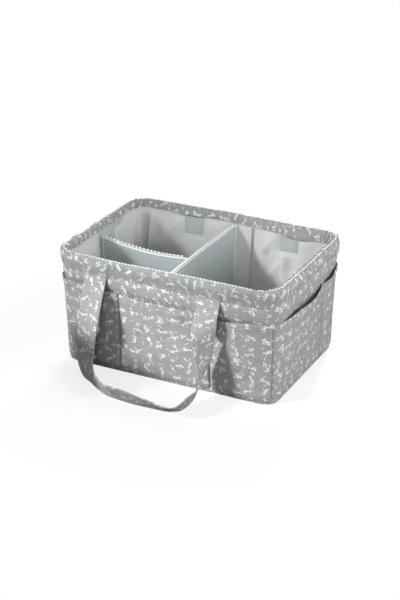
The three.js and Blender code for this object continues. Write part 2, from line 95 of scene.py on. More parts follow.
back = Vector((math.sin(AZIMUTH) * math.cos(ELEVATION), -math.cos(AZIMUTH) * math.cos(ELEVATION),
               math.sin(ELEVATION)))
camera = put("camera", bpy.data.cameras.new("camera"))
camera.location = TARGET + back * DISTANCE
camera.rotation_euler = (-back).to_track_quat("-Z", "Y").to_euler()
camera.data.lens = LENS
camera.data.sensor_width = SENSOR
bpy.context.scene.camera = camera
print("camera at", [round(x, 3) for x in camera.location])

# %% [markdown]
# ## The shape of the tub
#
# The wall is a rounded rectangle that flares towards the rim. A point on it is named by its side, its place
# along that side, its height and its depth in from the outside of the wall, so every cloth layer follows
# the same form. A place runs from -1 to 1 over the straight wall and on to -2 and 2 round the corners.

# %% Wall shape
MM = 0.001
HEIGHT = 195 * MM
BASE_LENGTH, BASE_WIDTH, BASE_CORNER = 373 * MM, 250 * MM, 22 * MM
WALL_LENGTH, WALL_WIDTH, WALL_CORNER = 386.6 * MM, 272.6 * MM, 35.3 * MM
FLARE = 1.5
UP = np.array((0.0, 0.0, 1.0))
SIDES = {
    "front": (np.array((1.0, 0, 0)), np.array((0, -1.0, 0)), True),
    "right": (np.array((0, 1.0, 0)), np.array((1.0, 0, 0)), False),
    "back": (np.array((-1.0, 0, 0)), np.array((0, 1.0, 0)), True),
    "left": (np.array((0, -1.0, 0)), np.array((-1.0, 0, 0)), False),
}


def flared(at_base, at_rim, z):
    return at_base + (at_rim - at_base) * (np.maximum(z, 0) / HEIGHT) ** FLARE


def half_run(side, z):
    """Half of the straight part of a side, at a height."""
    size = flared(BASE_LENGTH, WALL_LENGTH, z) if SIDES[side][2] else flared(BASE_WIDTH, WALL_WIDTH, z)
    return size / 2 - flared(BASE_CORNER, WALL_CORNER, z)


def half_reach(side, z):
    """How far the outside of a side stands from the middle, at a height."""
    size = flared(BASE_WIDTH, WALL_WIDTH, z) if SIDES[side][2] else flared(BASE_LENGTH, WALL_LENGTH, z)
    return size / 2


def wall_point(side, place, z, depth):
    along, out, _ = SIDES[side]
    place, z, depth = np.broadcast_arrays(place, z, depth)
    radius = flared(BASE_CORNER, WALL_CORNER, z)
    turn = np.sign(place) * np.maximum(np.abs(place) - 1, 0) * math.pi / 2
    a = np.clip(place, -1, 1) * half_run(side, z) + (radius - depth) * np.sin(turn)
    b = half_reach(side, z) - radius + (radius - depth) * np.cos(turn)
    return a[..., None] * along + b[..., None] * out + z[..., None] * UP


def girth(side, place):
    """Distance round the tub from the middle of the front, which a print follows."""
    middle = HEIGHT / 2
    bend = flared(BASE_CORNER, WALL_CORNER, middle) * math.pi / 2
    quarter = half_run("front", middle) + bend + half_run("right", middle)
    round_corner = np.sign(place) * np.maximum(np.abs(place) - 1, 0) * bend
    return list(SIDES).index(side) * quarter + np.clip(place, -1, 1) * half_run(side, middle) + round_corner


def along_wall(side, place):
    """Distance along a side from its middle, in the direction of +X or +Y."""
    sign = 1 if side in ("front", "right") else -1
    return sign * np.clip(place, -1.2, 1.2) * half_run(side, HEIGHT * 0.7)


print("rim straights", round(2 * half_run("front", HEIGHT), 4), round(2 * half_run("right", HEIGHT), 4))

# %% [markdown]
# ## Tools for cloth
#
# A sheet is a grid of points for its outside and another for its inside, joined round the edges, so it has
# a real thickness. Folds come from two small functions: soft swells between random heights on a lattice,
# and gathers, the rounded ridges with tight valleys that elastic makes. Both are seeded.

# %% Cloth tools
lattice = partial(np.meshgrid, indexing="ij")


def ease(low, high, value):
    """0 below low, 1 above high, and smooth between."""
    t = np.clip((value - low) / (high - low), 0, 1)
    return t * t * (3 - 2 * t)


def bump(middle, width, value):
    """1 at the middle, fading to 0 at about twice the width."""
    return np.exp(-((value - middle) / width) ** 2)


def swells(u, v, size_u, size_v, seed):
    """Smooth random heights from -1 to 1, about one for each size_u by size_v."""
    table = np.random.default_rng(seed).uniform(-1, 1, (61, 67))
    x, y = u / size_u, v / size_v
    i, j = np.floor(x).astype(int), np.floor(y).astype(int)
    fx, fy = ease(0, 1, x - i), ease(0, 1, y - j)
    corner = lambda a, b: table[(i + a) % 61, (j + b) % 67]
    low = corner(0, 0) * (1 - fx) + corner(1, 0) * fx
    high = corner(0, 1) * (1 - fx) + corner(1, 1) * fx
    return low * (1 - fy) + high * fy


def gathers(along, pitch, seed):
    """Heights from 0 to 1 of uneven rounded ridges that lie side by side."""
    rng = np.random.default_rng(seed)
    edges = np.cumsum(pitch * rng.uniform(0.5, 1.5, 600)) - 150 * pitch
    tall = rng.uniform(0.35, 1, 600)
    i = np.clip(np.searchsorted(edges, along), 1, 599)
    t = (along - edges[i - 1]) / (edges[i] - edges[i - 1])
    return tall[i] * (1 - np.abs(2 * t - 1) ** 1.7)


def fold(a, b, start, end, width):
    """A soft ridge from 0 to 1 along the line between two places, given in millimetres."""
    (p, q), (r, s) = np.array(start) * MM, np.array(end) * MM
    share = np.clip(((a - p) * (r - p) + (b - q) * (s - q)) / ((r - p) ** 2 + (s - q) ** 2), 0, 1)
    return bump(0, width * MM, np.hypot(a - p - share * (r - p), b - q - share * (s - q)))


def far_along(points):
    """How far each point of a run lies from its start, along the run."""
    return np.concatenate(((0,), np.cumsum(np.linalg.norm(np.diff(points, axis=0), axis=1))))


def smooth(rows, count, dims=3):
    """A centripetal curve through rows of numbers, sampled evenly along its first columns."""
    p = np.asarray(rows, float)
    p = np.vstack((2 * p[0] - p[1], p, 2 * p[-1] - p[-2]))
    knot = np.concatenate(((0,), np.cumsum(np.linalg.norm(np.diff(p[:, :dims], axis=0), axis=1) ** 0.5)))
    dense = []
    for i in range(1, len(p) - 2):
        t = np.linspace(knot[i], knot[i + 1], 40)[:, None]
        blend = lambda a, b, ta, tb: (a * (tb - t) + b * (t - ta)) / (tb - ta)
        first = [blend(p[k], p[k + 1], knot[k], knot[k + 1]) for k in (i - 1, i, i + 1)]
        second = [blend(first[k], first[k + 1], knot[i - 1 + k], knot[i + 1 + k]) for k in (0, 1)]
        dense.append(blend(second[0], second[1], knot[i], knot[i + 1]))
    dense = np.vstack(dense)
    length = far_along(dense[:, :dims])
    at = np.linspace(0, length[-1], count)
    return np.stack([np.interp(at, length, column) for column in dense.T], axis=1)


def normals(middle):
    """Unit normals of a grid of points."""
    n = np.cross(np.gradient(middle, axis=0), np.gradient(middle, axis=1))
    return n / np.maximum(np.linalg.norm(n, axis=-1, keepdims=True), 1e-12)


def dressed(name, mesh, material, body):
    """A piece of the model from a mesh: its finish and the body that it rides on."""
    mesh.materials.append(material)
    piece = put(name, mesh)
    if body:
        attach(piece, body)
    return piece


def skin(name, outer, inner, uv, material, slot, body="tub"):
    """A closed sheet between two grids of points, with its print laid out in metres."""
    columns, rows = outer.shape[:2]
    loop = np.concatenate((outer, inner[:, ::-1]), axis=1)
    around = 2 * rows
    i, j = lattice(np.arange(columns - 1), np.arange(around))
    k = (j + 1) % around
    sides = np.stack((i * around + j, (i + 1) * around + j, (i + 1) * around + k, i * around + k), axis=-1)
    j = np.arange(rows - 1)
    cap = np.stack((j, j + 1, around - 2 - j, around - 1 - j), axis=-1)
    faces = np.concatenate((sides.reshape(-1, 4), cap, (cap + (columns - 1) * around)[:, ::-1]))
    mesh = bpy.data.meshes.new(name)
    mesh.from_pydata(loop.reshape(-1, 3).tolist(), [], faces.tolist())
    spread = np.concatenate((uv, uv[:, ::-1]), axis=1).reshape(-1, 2)
    layer = mesh.uv_layers.new(name="cloth")
    layer.data.foreach_set("uv", spread[faces.ravel()].astype(np.float32).ravel())
    mesh.shade_smooth()
    mesh.set_sharp_from_angle(angle=math.radians(60))
    return dressed(name, mesh, material, body)


def layers(middle, thickness):
    """The two faces of a sheet about its middle grid."""
    offset = normals(middle) * np.broadcast_to(thickness, middle.shape[:2])[..., None] / 2
    return middle + offset, middle - offset


def cut_size(middle):
    """The flat (width, length) that a grid of cloth was cut to."""
    across = np.linalg.norm(np.diff(middle, axis=0), axis=-1).sum(axis=0).mean()
    up = np.linalg.norm(np.diff(middle, axis=1), axis=-1).sum(axis=1).mean()
    return round(float(across), 3), round(float(up), 3)


def stations(*stretches):
    """Joins (from, to, count) stretches into one run of numbers."""
    parts = [np.linspace(a, b, n, endpoint=False) for a, b, n in stretches]
    return np.concatenate((*parts, [stretches[-1][1]]))


def stitches(name, runs, material, body="tub", pitch=4 * MM, length=2.9 * MM, radius=0.42 * MM):
    """Rows of sewing: a short round length of thread for each stitch along runs of points."""
    sides, slanting = 5, (0.31, 0.52, 0.79)
    points, faces = [], []
    ring = np.linspace(0, 2 * math.pi, sides, endpoint=False)
    for run in runs:
        run = np.asarray(run, float)
        far = far_along(run)
        for start in np.arange(pitch / 2, far[-1] - length, pitch):
            a, b = (np.array([np.interp(s, far, c) for c in run.T]) for s in (start, start + length))
            line = (b - a) / max(np.linalg.norm(b - a), 1e-9)
            side = np.cross(line, slanting)
            side /= np.linalg.norm(side)
            other = np.cross(line, side)
            first = len(points)
            round_it = [radius * (math.cos(t) * side + math.sin(t) * other) for t in ring]
            points += [a, b, *(0.8 * a + 0.2 * b + p for p in round_it)]
            points += [0.2 * a + 0.8 * b + p for p in round_it]
            for k in range(sides):
                m, n = first + 2 + k, first + 2 + (k + 1) % sides
                faces += [(first, n, m), (m, n, n + sides, m + sides), (first + 1, m + sides, n + sides)]
    mesh = bpy.data.meshes.new(name)
    mesh.from_pydata([tuple(p) for p in points], [], faces)
    mesh.shade_smooth()
    print(name, len(points) // (2 + 2 * sides), "stitches")
    return dressed(name, mesh, material, body)


# %% [markdown]
# ## Materials
#
# One function turns a hex colour into linear light, and one adds a node. In its kind, what follows the dot
# is the node's operation. The print and the weave are laid out in millimetres on the cloth itself.

# %% Node tools
def linear(code):
    """A hex colour as linear RGBA."""
    parts = [int(code[i:i + 2], 16) / 255 for i in (1, 3, 5)]
    return (*[c / 12.92 if c <= 0.04045 else ((c + 0.055) / 1.055) ** 2.4 for c in parts], 1)


def add(tree, kind, *values, inputs=None, **settings):
    """Adds a node. Values fill its sockets in order; names set its sockets or its properties."""
    kind, _, operation = kind.partition(".")
    made = tree.nodes.new("ShaderNode" + kind)
    if operation:
        made.operation = operation
    for key, value in [*enumerate(values), *(inputs or {}).items(), *settings.items()]:
        if isinstance(key, str) and key not in made.inputs:
            setattr(made, key, value)
            continue
        value = value.outputs[0] if isinstance(value, bpy.types.Node) else value
        if isinstance(value, bpy.types.NodeSocket):
            tree.links.new(value, made.inputs[key])
        else:
            made.inputs[key].default_value = value
    return made


def finish(name, roughness, sheen=0.0):
    """A new material, its tree, a node adder for it and its shader."""
    made = bpy.data.materials.new(name)
    made.use_nodes = True
    shader = made.node_tree.nodes["Principled BSDF"]
    shader.inputs["Roughness"].default_value = roughness
    shader.inputs["Sheen Weight"].default_value = sheen
    shader.inputs["Specular IOR Level"].default_value = 0.25
    return made, made.node_tree, partial(add, made.node_tree), shader


def wear(tree, shader, colour, relief=None):
    """Joins a mix of colours, and a relief if there is one, to a shader."""
    tree.links.new(colour.outputs[2], shader.inputs["Base Color"])
    if relief:
        tree.links.new(relief.outputs[0], shader.inputs["Normal"])


def toned(name, roughness, dark, light, pattern, relief=None, sheen=0.0, **settings):
    """A material between two colours that follow a pattern, with a relief of (strength, distance)."""
    made, tree, node, shader = finish(name, roughness, sheen)
    height = node(pattern, Vector=node("TexCoord").outputs["Object"], **settings)
    tone = node("Mix", data_type="RGBA", inputs={0: height, 6: linear(dark), 7: linear(light)})
    raised = relief and node("Bump", Strength=relief[0], Distance=relief[1], Height=height)
    wear(tree, shader, tone, raised)
    return made


def weave(node, place, pitch):
    """The over and under of plain-woven threads, as a height from -1 to 1."""
    parts = node("SeparateXYZ", place)
    turns = 2 * math.pi / pitch
    warp = node("Math.SINE", node("Math.MULTIPLY", parts.outputs[0], turns))
    weft = node("Math.SINE", node("Math.MULTIPLY", parts.outputs[1], turns))
    return node("Math.MULTIPLY", warp, weft)


# %% [markdown]
# ### Printed cotton
#
# A grey plain-woven cotton, screen printed in white. The eye sees a mid grey, slightly cool, scattered with
# small white sprigs a centimetre or two apart, on cloth with soft creases a few centimetres long. The print
# is a generic one of three motifs, each in its own lattice with a random turn and shift: a bent stem with
# two leaves and an open bud, three leaves on a stalk, and a pair of seeds.

# %% Printed cotton
def motif_places(node, uv, pitch, seed):
    """Millimetres across and up from the middle of the nearest motif, turned at random."""
    scaled = node("VectorMath.MULTIPLY_ADD", uv, (1 / pitch,) * 3, (0.37 * seed, 0.61 * seed, 0))
    cell = node("VectorMath.ADD", node("VectorMath.FLOOR", scaled), (seed, 2 * seed, 0))
    chance = node("TexWhiteNoise", cell, noise_dimensions="3D").outputs["Color"]
    shift = node("VectorMath.MULTIPLY_ADD", chance, (-0.4, -0.4, 0), (-0.3, -0.3, 0))
    local = node("VectorMath.ADD", node("VectorMath.FRACTION", scaled), shift)
    angle = node("Math.MULTIPLY", node("SeparateXYZ", chance).outputs[2], 2 * math.pi)
    turned = node("VectorRotate", node("VectorMath.SCALE", local, Scale=pitch / MM), Angle=angle,
                  rotation_type="Z_AXIS")
    parts = node("SeparateXYZ", turned)
    return parts.outputs[0], parts.outputs[1]


def oval(node, x, y, half_x, half_y):
    """1 on the edge of an oval, less inside it."""
    a = node("Math.DIVIDE", x, half_x)
    b = node("Math.DIVIDE", y, half_y)
    return node("Math.SQRT", node("Math.ADD", node("Math.MULTIPLY", a, a), node("Math.MULTIPLY", b, b)))


def within(node, value, half, middle=0.0):
    """1 where a value is nearer than half to the middle."""
    return node("Math.COMPARE", value, middle, half)


def budded_sprig(node, x, y):
    bent = node("Math.MULTIPLY_ADD", node("Math.MULTIPLY", y, y), -0.05, x)
    stem = node("Math.MULTIPLY", within(node, bent, 0.36), within(node, y, 4.6))
    side = node("Math.SIGN", y)
    leaf_x = node("Math.MULTIPLY_ADD", bent, side, -1.7)
    leaf_y = node("Math.MULTIPLY_ADD", leaf_x, -0.6, node("Math.ADD", node("Math.ABSOLUTE", y), -2.2))
    leaf = node("Math.LESS_THAN", oval(node, leaf_x, leaf_y, 1.4, 0.65), 1.0)
    bud = within(node, oval(node, bent, node("Math.ADD", y, -6.4), 1.9, 1.9), 0.29, 1.0)
    return node("Math.MAXIMUM", node("Math.MAXIMUM", stem, leaf), bud)


def three_leaves(node, x, y):
    spoke = node("Math.WRAP", node("Math.ARCTAN2", y, x), math.pi / 3, -math.pi / 3)
    far = oval(node, x, y, 1.0, 1.0)
    leaf_x = node("Math.MULTIPLY_ADD", far, node("Math.COSINE", spoke), -2.3)
    leaf_y = node("Math.MULTIPLY", far, node("Math.SINE", spoke))
    leaf = node("Math.LESS_THAN", oval(node, leaf_x, leaf_y, 1.7, 0.65), 1.0)
    stalk = node("Math.MULTIPLY", within(node, y, 0.36), within(node, x, 2.0, -3.0))
    return node("Math.MAXIMUM", leaf, stalk)


def seed_pair(node, x, y):
    out = node("Math.ABSOLUTE", x)
    seed_x = node("Math.ADD", out, -1.6)
    seed_y = node("Math.MULTIPLY_ADD", out, -0.55, y)
    return node("Math.LESS_THAN", oval(node, seed_x, seed_y, 1.1, 0.6), 1.0)


printed_cotton, tree, node, shader = finish("Printed cotton", 0.9, sheen=0.12)
uv = node("UVMap", uv_map="cloth")
layers_of_print = [
    budded_sprig(node, *motif_places(node, uv, 25 * MM, 3)),
    three_leaves(node, *motif_places(node, uv, 22 * MM, 7)),
    seed_pair(node, *motif_places(node, uv, 16 * MM, 12)),
]
print_mask = node("Math.MAXIMUM", node("Math.MAXIMUM", *layers_of_print[:2]), layers_of_print[2])
threads = weave(node, uv, 0.9 * MM)
mottle = node("TexNoise", Vector=uv, Scale=45.0, Detail=3.0)
ground = node("Mix", data_type="RGBA",
              inputs={0: mottle, 6: linear("#939596"), 7: linear("#9d9f9f")})
colour = node("Mix", print_mask, data_type="RGBA", inputs={6: ground.outputs[2], 7: linear("#f6f6f4")})
rough = node("MapRange", inputs={0: mottle, 3: 0.82, 4: 0.96})
tree.links.new(rough.outputs[0], shader.inputs["Roughness"])
crumple = node("TexNoise", Vector=uv, Scale=28.0, Detail=3.0, Roughness=0.5, Distortion=0.8)
creased = node("Bump", Strength=0.4, Distance=0.012, Height=crumple)
relief = node("Bump", Strength=0.35, Distance=0.0004, Height=threads, Normal=creased)
wear(tree, shader, colour, relief)
print("printed cotton:", len(tree.nodes), "nodes")

# %% [markdown]
# ### Lining, padded cloth and fastening tape
#
# The lining is a pale grey polyester, nearly white in the light, that creases finely. The dividers wear a
# smoother blue-grey cloth with a slight sheen. The loop patches are a fuzzy pile, greener and paler. The
# thread is grey on the print, paler on the dividers and the pile, and white along the tops of the dividers.
# The same white thread draws the dashes along the rim's crest, which are a painted highlight.

# %% Lining cloth
lining_cloth, tree, node, shader = finish("Lining cloth", 0.7, sheen=0.1)
uv = node("UVMap", uv_map="cloth")
creases = node("TexNoise", Vector=uv, Scale=70.0, Detail=5.0, Roughness=0.6)
# The crease noise also mixes the colour. This is partly random tone, and partly painted shade in the
# creases: the cloth is a little darker where the crease relief is low.
tone = node("Mix", data_type="RGBA", inputs={0: creases, 6: linear("#d0d1cf"), 7: linear("#dadbd9")})
threads = weave(node, uv, 0.8 * MM)
height = node("Math.MULTIPLY_ADD", creases, 6.0, threads)
relief = node("Bump", Strength=0.5, Distance=0.0004, Height=height)
wear(tree, shader, tone, relief)

# %% Divider cloth
divider_cloth, tree, node, shader = finish("Padded divider cloth", 0.5, sheen=0.15)
place = node("TexCoord").outputs["Object"]
cloud = node("TexNoise", Vector=place, Scale=18.0, Detail=2.0)
tone = node("Mix", data_type="RGBA", inputs={0: cloud, 6: linear("#9ea7a9"), 7: linear("#a9b1b2")})
grain = node("TexNoise", Vector=place, Scale=1400.0, Detail=2.0)
relief = node("Bump", Strength=0.12, Distance=0.0003, Height=grain)
wear(tree, shader, tone, relief)

# %% Loop pile, hook tape and thread
loop_pile = toned("Loop pile", 0.95, "#a6adab", "#bbc1be", "TexNoise", relief=(0.6, 0.0006), sheen=0.35,
                  Scale=900.0, Detail=4.0, Roughness=0.7)
hook_tape = toned("Hook tape", 0.45, "#a9b0ae", "#7d8583", "TexVoronoi", relief=(0.8, 0.0006), Scale=700.0)
# The white thread is real edge stitching on the dividers and a painted highlight along the rim's crest.
thread, pale_thread, edge_thread_and_crest_highlight = (
    toned(name, 0.6, dark, light, "TexWave", Scale=scale, Distortion=1.0)
    for name, dark, light, scale in (
        ("Sewing thread", "#a2a4a4", "#bcbebe", 900.0),
        ("Pale sewing thread", "#b9c0c0", "#d3d9d8", 900.0),
        ("White edging thread and painted crest highlight", "#f0f3f3", "#fdfefe", 600.0)))

# %% [markdown]
# ### What is inside the cloth
#
# Foam sheets stiffen the walls and the dividers, a fibre board stiffens the floor and a white elastic ring
# runs in the rim. They stay as solids inside the cloth: open pores, pressed fibres and ribs.

# %% Hidden materials
foam = toned("Polyethylene foam", 0.8, "#dcdcd7", "#f0f0ec", "TexVoronoi", relief=(0.4, 0.0005),
             Scale=650.0)
board = toned("Fibre board", 0.85, "#5f5c58", "#7c7973", "TexNoise", Scale=220.0, Detail=6.0)
elastic = toned("Ribbed elastic", 0.75, "#dedcd7", "#f4f3f0", "TexWave", Scale=420.0)

hidden = {"foam": foam, "core": foam, "board": board, "elastic": elastic, "hook": hook_tape}
for name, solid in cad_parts.items():
    for word, material in hidden.items():
        if word in name:
            solid.data.materials.clear()
            solid.data.materials.append(material)
print("materials:", len(bpy.data.materials))

# %% [markdown]
# ## The outer walls
#
# Each side of the tub is one panel of printed cotton, sewn to its neighbours half way round the corners. It
# lies on the foam, and shows between the pockets and the rim, where the casing's seam pulls little puckers
# into it and the cloth bulges a little between the seams of the pockets.

# %% Outer walls and underside
POCKET_CORNER, POCKET_DROOP = 149 * MM, 10 * MM
SEAMS = {True: (-78 * MM, 78 * MM), False: (48 * MM,)}
CLOTH_FOOT, CLOTH_TOP = 1.3 * MM, 192.3 * MM
LINING_FACE = 7.9 * MM


def pocket_top(side, place):
    """The pocket's top edge droops between the corners, and sits lower round the front right corner."""
    low = {"front": ease(0.38, 0.56, place), "right": ease(0.5, 1, -place)}.get(side, 0)
    return POCKET_CORNER - POCKET_DROOP * np.cos(math.pi / 2 * np.clip(place, -1, 1)) - 9 * MM * low


def seam_distance(side, place):
    """How far a place lies from the nearest seam that holds the pockets down."""
    seams = [seam / half_run(side, POCKET_CORNER) for seam in SEAMS[SIDES[side][2]]]
    joints = girth(side, np.array((-1.5, *seams, 1.5)))
    return np.min(np.abs(girth(side, place)[..., None] - joints), axis=-1)


def panel_places(side):
    return stations((-1.5, -1, 14), (-1, 1, 130 if SIDES[side][2] else 84), (1, 1.5, 14))


for side in SIDES:
    place, z = lattice(panel_places(side), np.linspace(CLOTH_FOOT, CLOTH_TOP, 72))
    s = girth(side, place)
    top = pocket_top(side, place)
    shown = ease(top - 3 * MM, top + 8 * MM, z) * ease(-168 * MM, -163 * MM, -z)
    pucker = gathers(s + 0.1 * z, 13 * MM, 5) * ease(150 * MM, 166 * MM, z) * 2 * MM
    swell = (1 + swells(s, z, 45 * MM, 26 * MM, 8)) * 1.2 * MM
    loose = 1 - bump(0, 12 * MM, seam_distance(side, place))
    swell += 2 * MM * ease(-166 * MM, -152 * MM, -z) * loose
    middle = wall_point(side, place, z, 0.5 * MM)
    middle += normals(middle) * (shown * (pucker + swell))[..., None]
    piece = skin(f"outer_cloth_{side}", *layers(middle, 0.9 * MM), np.stack((s, z), -1), printed_cotton,
                 "printed_cotton")
    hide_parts(f"outer_{side}")


def plate(name, half_x, half_y, radius, z, thickness, sag, material, slot):
    """A floor panel: a rounded rectangle of cloth."""
    a, b = lattice(np.linspace(-1, 1, 90), np.linspace(-1, 1, 60))
    y = b * half_y
    past = np.maximum(np.abs(y) - (half_y - radius), 0)
    x = a * (half_x - radius + np.sqrt(np.maximum(radius ** 2 - past ** 2, 0)))
    level = z + sag * swells(x, y, 45 * MM, 45 * MM, 21) * (1 - a ** 4) * (1 - b ** 4)
    middle = np.stack((x, y, level), -1)
    return skin(name, *layers(middle, thickness), np.stack((x, y), -1), material, slot), cut_size(middle)


piece, flat = plate("underside_cloth", BASE_LENGTH / 2, BASE_WIDTH / 2, BASE_CORNER, 0.5 * MM, 1 * MM, 0,
                    printed_cotton, "printed_cotton")
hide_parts("outer_base")
print("outer walls: 4 panels and the underside")

# %% [markdown]
# ## The pocket skirt
#
# A second band of the same cotton is sewn on along the bottom, at the corners and at seams between, so each
# long side has three open pockets and each end has two. Each seam draws a groove. The top edge droops
# between the corners and stands away from the wall, most on the wide pockets of the ends. Its hem is a fold
# of double cloth, held by a row of stitches.

# %% Pockets
GAPES = {True: (3 * MM, 3.5 * MM, 3 * MM), False: (9 * MM, 5 * MM)}
HEM, NEAR_SEAM = 11 * MM, 0.07
pocket_runs = []
for side in SIDES:
    is_long = SIDES[side][2]
    edges = np.array((-1, *(seam / half_run(side, POCKET_CORNER) for seam in SEAMS[is_long]), 1))
    spans = list(zip(edges, edges[1:]))
    fine = [run for a, b in spans for run in (
        (a, a + NEAR_SEAM, 12), (a + NEAR_SEAM, b - NEAR_SEAM, 40), (b - NEAR_SEAM, b, 12))]
    spots = stations((-1.5, -1, 26), *fine, (1, 1.5, 26))
    place, rise = lattice(spots, 1 - (1 - np.linspace(0, 1, 64)) ** 1.15)
    span = np.clip(np.searchsorted(edges, place, side="right") - 1, 0, len(spans) - 1)
    share = np.clip((place - edges[span]) / (edges[span + 1] - edges[span]), 0, 1)
    gape = np.array(GAPES[is_long])[span] * np.sin(math.pi * share)
    s = girth(side, place)
    top = pocket_top(side, place)
    z = CLOTH_FOOT + (top + 0.8 * MM * swells(s, 0 * s, 30 * MM, 1, 31) - CLOTH_FOOT) * rise
    belly = (1 - bump(0, 2 * MM, seam_distance(side, place))) * ease(0, 0.1, rise)
    belly *= 3.2 * MM - 1.6 * MM * ease(0.85, 1.1, np.abs(place))
    lip = 1.6 * MM * ease(0.86, 1, rise) * ease(0.85, 1, np.abs(place))
    free = np.sin(math.pi * share) ** 0.5 * np.sin(math.pi * np.clip(rise * 0.9 + 0.04, 0, 1)) ** 0.6
    drape = (1 + swells(s + 0.35 * z, z, 24 * MM, 60 * MM, 33)) * 1.2 * MM
    drape += (1 + swells(s - 0.6 * z, z, 40 * MM, 44 * MM, 35)) * 1.4 * MM
    out = 0.3 * MM + gape * rise ** 1.5 + free * drape + belly + lip
    tuck = 1.2 * MM * (1 - ease(0, 6 * MM, z))
    middle = wall_point(side, place, z, -(out - tuck))
    hem = ease(-HEM, -HEM + 1.5 * MM, z - top)
    thickness = (1.0 + 0.9 * hem) * MM * (1 - 0.5 * ease(0.985, 1, rise))
    outer, inner = layers(middle, thickness)
    piece = skin(f"pocket_cloth_{side}", outer, inner, np.stack((s + 0.31, z), -1), printed_cotton,
                 "printed_cotton")
    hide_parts(f"pocket_{side}")
    row = np.argmin(np.abs(z - top + HEM - 2 * MM), axis=1)
    pocket_runs.append(outer[np.arange(len(spots)), row])
    pocket_runs += [outer[np.argmin(np.abs(spots - seam)), 2:] for seam in edges[1:-1]]
stitches("pocket_stitching", pocket_runs, thread)
print("pockets: 4 panels, 10 openings")

# %% [markdown]
# ## The rim casing
#
# A strip of cotton folds over the top of the wall and makes the channel for the elastic. It is sewn in four
# pieces: nearly flat ones along the front and back, and ones with deep gathers that wrap both ends and all
# four corners. A row of white dashes along the crest is a painted highlight, drawn as white stitches. The
# profile runs from the outside seam, over the top and down to the inside edge: depth and height in
# millimetres, and the share of folds there.

# %% Rim casing
STRAP_PLACES = (-117 * MM, 82 * MM)
profile = smooth([
    (-0.6, 167.6, 0.25), (-1.1, 169.4, 0.5), (-2.0, 176.0, 0.9), (-2.7, 184.0, 1.0), (-2.6, 190.0, 1.0),
    (-1.3, 193.6, 0.9), (1.4, 195.2, 0.7), (4.6, 195.3, 0.7), (7.6, 193.8, 0.7), (9.2, 190.6, 0.6),
    (9.5, 187.0, 0.5), (9.2, 184.2, 0.3), (7.9, 183.0, 0.15)], 40, dims=2)
depth, height, lift = profile[:, 0] * MM, profile[:, 1] * MM, profile[:, 2]
fold_over = np.concatenate(((0,), np.cumsum(np.hypot(np.diff(depth), np.diff(height)))))
channel = np.linspace(0, 1, len(profile))
inner_depth = np.interp(channel, (0, 0.45, 0.7, 1), (-0.3 * MM, -0.3 * MM, LINING_FACE, LINING_FACE))
inner_height = np.interp(channel, (0, 0.45, 0.7, 1), (167.9 * MM, 192.6 * MM, 192.6 * MM, 183.3 * MM))
rim_runs, crest_runs = [], []
crest = int(np.argmax(height))
for side in SIDES:
    is_long = SIDES[side][2]
    spots = stations((-1, 1, 320)) if is_long else stations((-2, -1, 70), (-1, 1, 220), (1, 2, 70))
    place, over = lattice(spots, fold_over)
    s = girth(side, place)
    rows = lambda values: np.broadcast_to(values, place.shape)
    a = along_wall(side, place)
    low = {"back": 0.12 + 0.88 * ease(0, 155 * MM, a), "right": ease(1.1, 2, place)}.get(side, 0)
    drop = 8 * MM * low * ease(5 * MM, 9 * MM, rows(depth)) * ease(-193 * MM, -184 * MM, -rows(height))
    base = wall_point(side, place, rows(height) - drop, rows(depth) + 0.08 * drop)
    slant = s + 0.25 * over * swells(s, over, 40 * MM, 60 * MM, 41)
    if is_long:
        uneven = 0.6 + 0.4 * swells(s, over, 50 * MM, 60 * MM, 44)
        folds = 1.4 * MM * gathers(slant, 17 * MM, 43) * uneven
        folds += 1.2 * MM * gathers(slant, 8 * MM, 49) * bump(195 * MM, 7 * MM, rows(height))
    else:
        uneven = 0.75 + 0.25 * swells(s, over, 30 * MM, 25 * MM, 46)
        folds = 6 * MM * gathers(slant, 7 * MM, 45) * uneven - 1.4 * MM
        folds *= np.interp(rows(depth), (-3 * MM, 1 * MM, 5 * MM, 9 * MM), (0.5, 0.7, 1.3, 1.6))
    folds += 0.5 * MM * (1 + swells(s, over, 22 * MM, 14 * MM, 47))
    ends = ease(0, 0.08, 1 - np.abs(place)) if is_long else ease(0, 0.25, 2 - np.abs(place))
    folds *= rows(lift) * ends
    if is_long:
        for spot in STRAP_PLACES:
            near = np.abs(a - (spot if side == "front" else -spot))
            folds += 2.6 * MM * ease(-26 * MM, -18 * MM, -near) * ease(-191 * MM, -186 * MM, -rows(height))
    outer = base + normals(base) * folds[..., None]
    outer[..., 2] += 1.4 * MM * swells(s, 0 * s, 70 * MM, 1, 48) * ease(170 * MM, 190 * MM, rows(height))
    inner = wall_point(side, place, rows(inner_height), rows(inner_depth))
    stretch = 1.08 if is_long else 1.5
    print_place = np.stack((s * stretch + 0.67, over + 0.4), -1)
    piece = skin(f"rim_cloth_{side}", outer, inner, print_place, printed_cotton, "printed_cotton")
    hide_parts(f"rim_casing_{side}")
    rim_runs += [outer[:, row] + normals(base)[:, row] * 0.2 * MM for row in (2, -3)]
    crest_runs.append(outer[:, crest] + 0.3 * MM * UP)
stitches("rim_stitching", rim_runs, thread)
# White stitches along the crest: a painted highlight where the crest catches the light.
stitches("rim_crest_painted_highlight", crest_runs, edge_thread_and_crest_highlight, pitch=6 * MM, length=4.6 * MM,
         radius=0.9 * MM)

# %% [markdown]
# ## The lining
#
# The inside is a loose bag of pale cloth. It is caught at the rim, the floor and the loop patches, and
# puffs out in soft diagonal folds between them. It lies flat where a divider's tabs press it to the wall.

